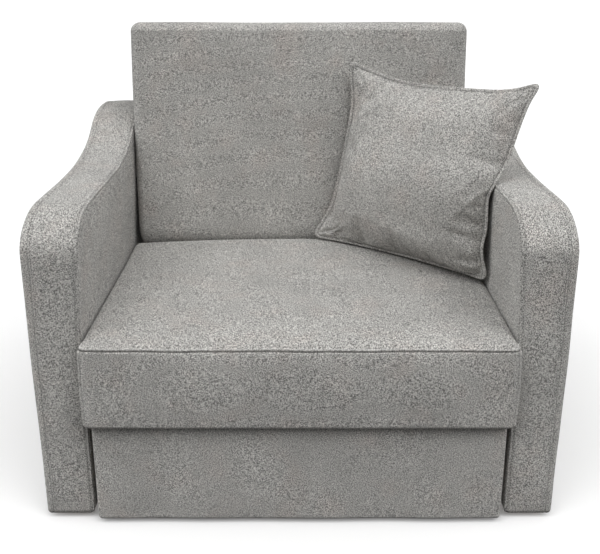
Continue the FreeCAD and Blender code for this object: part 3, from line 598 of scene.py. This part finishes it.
def puffed(name, points, faces, pinned, cap):
    """The same surface after a cloth simulation: blown up from inside, with its rim held.

    No point moves further than the cap; the cloth is cut a little large, so that it wrinkles.
    """
    mesh = bpy.data.meshes.new(name)
    mesh.from_pydata((points / 1000).tolist(), [], faces)
    turn_outward(mesh)
    thing = bpy.data.objects.new(name, mesh)
    scene = bpy.context.scene
    scene.collection.objects.link(thing)
    group = thing.vertex_groups.new(name="held")
    group.add(np.flatnonzero(pinned).tolist(), 1.0, "REPLACE")
    cloth_run = thing.modifiers.new("cloth", "CLOTH")
    how = cloth_run.settings
    how.quality = 6
    how.mass = 0.25
    how.tension_stiffness = how.compression_stiffness = 12
    how.shear_stiffness = 6
    how.bending_stiffness = 0.6
    how.use_pressure = True
    how.uniform_pressure_force = 4
    how.shrink_min = -0.035
    how.effector_weights.gravity = 0
    how.vertex_group_mass = "held"
    cloth_run.collision_settings.use_collision = False
    for number in range(1, 21):
        scene.frame_set(number)
    ready = thing.evaluated_get(bpy.context.evaluated_depsgraph_get())
    moved = np.empty(len(points) * 3)
    ready.data.vertices.foreach_get("co", moved)
    moved = moved.reshape(-1, 3) * 1000 - points
    bpy.data.objects.remove(thing)
    scene.frame_set(1)
    reach = np.linalg.norm(moved, axis=1, keepdims=True)
    return points + moved * np.minimum(1, cap / np.maximum(reach, 1e-9))


def rim_lines(length):
    """Places along a side of the pillow: close together near its rim."""
    near = np.array([0, 1.2, 2.4, 3.6, 4.8, 6, 7.2, 8.6, 10.5, 13, 16, 20, 25, 31])
    between = np.linspace(37, length - 37, round((length - 74) / 6.5) + 1)
    return np.concatenate([near, between, length - near[::-1]])


def across_patch(sides, u, v):
    """A point for each u and v, blended from four edge curves less the corners' bilinear blend."""
    bottom, top, left, right = sides
    dense = np.linspace(0, 1, len(bottom))

    def on(edge, t):
        return np.stack([np.interp(t, dense, edge[:, k]) for k in range(3)], -1)

    a, b = u[..., None], v[..., None]
    patch = (1 - b) * on(bottom, u) + b * on(top, u) + (1 - a) * on(left, v) + a * on(right, v)
    return patch - (1 - b) * ((1 - a) * bottom[0] + a * bottom[-1]) - b * ((1 - a) * top[0] + a * top[-1])


def fold(a, b, start, end, deep, width):
    """A groove between two ridges along the line from start to end, dying away toward its end."""
    way = np.subtract(end, start)
    reach = np.hypot(*way)
    ahead = ((a - start[0]) * way[0] + (b - start[1]) * way[1]) / reach
    aside = ((b - start[1]) * way[0] - (a - start[0]) * way[1]) / reach + 3 * np.sin(ahead / 17)
    held = fade(ahead, -12, 6) * (1 - fade(ahead, reach * 0.3, reach * 1.1))
    ridges = 0.6 * ridge(aside, 1.7 * width, width) + 0.4 * ridge(aside, -1.9 * width, width)
    return deep * held * (ridges - ridge(aside, 0, 0.7 * width))


def make_pillow():
    """A square pillow: two faces swelling from a flat sewn rim, which is bent where it meets the arm.

    The middle surface is blended from the four rim curves. Each face stands off it by
    (4u(1-u) 4v(1-v)) ** 0.46 of half the thickness, counted from a seam just inside the rim.
    The corners of the rim are turned to quarter circles, and folds run inward from the rim.
    """
    low_left, low_right = (27, 566, 411), (402, 272, 400)
    top_left, top_right = (110, 590, 835), (492, 304, 818)
    sides = [
        curve([low_left, (97, 540, 408), (234, 452, 401), (350, 334, 401), low_right], 200),
        curve([top_left, (150, 580, 815), (247, 516, 789), (382, 400, 789), (440, 346, 797), top_right], 200),
        curve([low_left, (77, 562, 505), (111, 574, 670), (120, 583, 745), top_left], 200),
        curve([
            low_right, (385, 270, 468), (390, 268, 520), (388, 262, 585), (398, 257, 615), (424, 274, 659),
            (450, 293, 732), (467, 300, 776), top_right,
        ], 200),
    ]
    wide, high, rounding, seam_at, rim = 450.0, 428.0, 26.0, 7.5, 1.9
    a, b = np.meshgrid(rim_lines(wide), rim_lines(high))
    core_a, core_b = np.clip(a, rounding, wide - rounding), np.clip(b, rounding, high - rounding)
    way_a, way_b = a - core_a, b - core_b
    far = np.maximum(np.hypot(way_a, way_b), 1e-9)
    round_by = np.maximum(np.abs(way_a), np.abs(way_b)) / far
    a, b = core_a + way_a * round_by, core_b + way_b * round_by
    from_rim = np.minimum(np.minimum(a, wide - a), np.minimum(b, high - b))
    cornered = (np.abs(way_a) > 0) & (np.abs(way_b) > 0)
    from_rim = np.where(cornered, rounding - np.hypot(way_a, way_b) * round_by, from_rim)
    u, v = a / wide, b / high
    middle = across_patch(sides, u, v)
    eps = 1e-3
    across = across_patch(sides, u + eps, v) - across_patch(sides, u - eps, v)
    upward = across_patch(sides, u, v + eps) - across_patch(sides, u, v - eps)
    facing = np.cross(across, upward)
    facing /= np.linalg.norm(facing, axis=-1, keepdims=True)
    su = np.clip((a - seam_at) / (wide - 2 * seam_at), 0, 1)
    sv = np.clip((b - seam_at) / (high - 2 * seam_at), 0, 1)
    swell = np.clip(16 * su * (1 - su) * sv * (1 - sv), 0, 1) ** 0.46
    swell *= fade(from_rim, seam_at - 0.5, seam_at + 10) ** 0.5
    folds = np.zeros_like(a)
    for start, end, deep, width in (
        ((446, 78), (385, 112), 6.0, 9.0), ((448, 44), (372, 52), 5.0, 8.0), ((428, 16), (330, 30), 3.5, 8.0),
        ((447, 205), (392, 176), 5.5, 10.0), ((448, 240), (398, 252), 4.5, 9.0),
        ((441, 396), (388, 340), 3.5, 11.0), ((24, 22), (78, 66), 2.5, 9.0),
        ((16, 300), (62, 270), 2.0, 10.0), ((20, 410), (70, 372), 2.5, 9.0),
    ):
        folds += fold(a, b, start, end, deep, width)
    folds *= fade(from_rim, seam_at, seam_at + 8)
    edge = rim * np.sqrt(np.clip(from_rim / 1.8, 0.05, 1))
    front = np.dstack([middle + facing * (edge + 60.0 * swell + folds)[..., None], from_rim, b])
    back = np.dstack([middle - facing * (edge + 47.0 * swell)[..., None], from_rim, b])
    rim_sides = [(face[0], face[-1], face[:, 0], face[:, -1]) for face in (front, back)]
    strips = [np.stack(pair, 0) for pair in zip(*rim_sides)]
    rows, faces = welded([front, back] + strips)
    points, from_rim = rows[:, :3].copy(), rows[:, 3]
    points = puffed("pillow_run", points, faces, from_rim < seam_at + 0.2, 14.0)
    # Painted shade in the crease along the seam just inside the rim.
    marks = marked(rows[:, 4], 0.9 * ridge(from_rim, seam_at, 1.3))
    thing = piece("pillow_cover", points, faces, "pillow", ["pillow"], marks)
    finer = thing.modifiers.new("finer", "SUBSURF")
    finer.levels = finer.render_levels = 1


make_seat()
make_panel()
make_mattress(
    "backrest_mattress", "backrest", 394.8, 12.5, 550, 8.0, 31, (SEAT_PIVOT, TURN), "backrest_section",
    shift=-1.8, foot=60.0,
)
make_mattress("rear_mattress", "rear_mattress", 377, -498, 165, 7.0, 37, (REAR_PIVOT, -TURN), "rear_section")
make_arm(-1, "arm_left")
make_arm(1, "arm_right")
make_pillow()


# Studio


def make_floor(scene):
    """A wide pale floor, which lights nothing itself."""
    mesh = bpy.data.meshes.new("floor")
    mesh.from_pydata([(-60, -60, 0), (60, -60, 0), (60, 60, 0), (-60, 60, 0)], [], [(0, 1, 2, 3)])
    floor = bpy.data.objects.new("floor", mesh)
    scene.collection.objects.link(floor)
    white = bpy.data.materials.new("studio_floor")
    surface(
        links(white), (0.90, 0.90, 0.90, 1), 0.9,
        Specular_IOR_Level=0.0, Emission_Color=(1, 1, 1, 1), Emission_Strength=0.15,
    )
    mesh.materials.append(white)
    floor.visible_diffuse = False


def make_lights(scene):
    """Two broad lights in front and above, and two low ones at the sides."""
    for name, power, width, turn in (
        ("front_left", 1.02, 40, (40, 0, -38)), ("front_right", 1.10, 40, (40, 0, 38)),
        ("from_left", 0.7, 45, (0, -76, 0)), ("from_right", 0.7, 45, (0, 76, 0)),
    ):
        lamp = bpy.data.lights.new(name, "SUN")
        lamp.energy = power
        lamp.angle = math.radians(width)
        light = bpy.data.objects.new(name, lamp)
        light.rotation_euler = np.radians(turn)
        scene.collection.objects.link(light)


def make_world(scene):
    """A surround that is dim below and bright above, and white where the camera sees it."""
    world = bpy.data.worlds.new("surround")
    scene.world = world
    add = links(world)
    where = add("ShaderNodeTexCoord").outputs["Generated"]
    rise = add("ShaderNodeMapRange", {
        "Value": add("ShaderNodeSeparateXYZ", {0: where}).outputs["Z"],
        "From Min": -0.05, "From Max": 0.9, "To Min": 0.10, "To Max": 0.56,
    }, interpolation_type="SMOOTHSTEP")
    sky = add("ShaderNodeBackground", {"Color": (1, 1, 1, 1), "Strength": rise.outputs[0]})
    seen = add("ShaderNodeBackground", {"Color": (0.98, 0.98, 0.98, 1)})
    from_camera = add("ShaderNodeLightPath").outputs["Is Camera Ray"]
    either = add("ShaderNodeMixShader", {0: from_camera, 1: sky.outputs[0], 2: seen.outputs[0]})
    add("ShaderNodeOutputWorld", {"Surface": either.outputs[0]})


def make_camera(scene):
    """The photograph's view: from the front, looking down a little under twenty degrees."""
    camera = bpy.data.cameras.new("camera")
    camera.sensor_width = 36
    camera.sensor_fit = "HORIZONTAL"
    camera.lens = 54.9
    camera.clip_end = 300
    eye = bpy.data.objects.new("camera", camera)
    eye.location = (0.0012, -2.0215, 1.053)
    eye.rotation_euler = (math.radians(70.7), 0, 0)
    scene.collection.objects.link(eye)
    scene.camera = eye


scene = bpy.context.scene
make_floor(scene)
make_lights(scene)
make_world(scene)
make_camera(scene)
scene.view_settings.view_transform = "Standard"
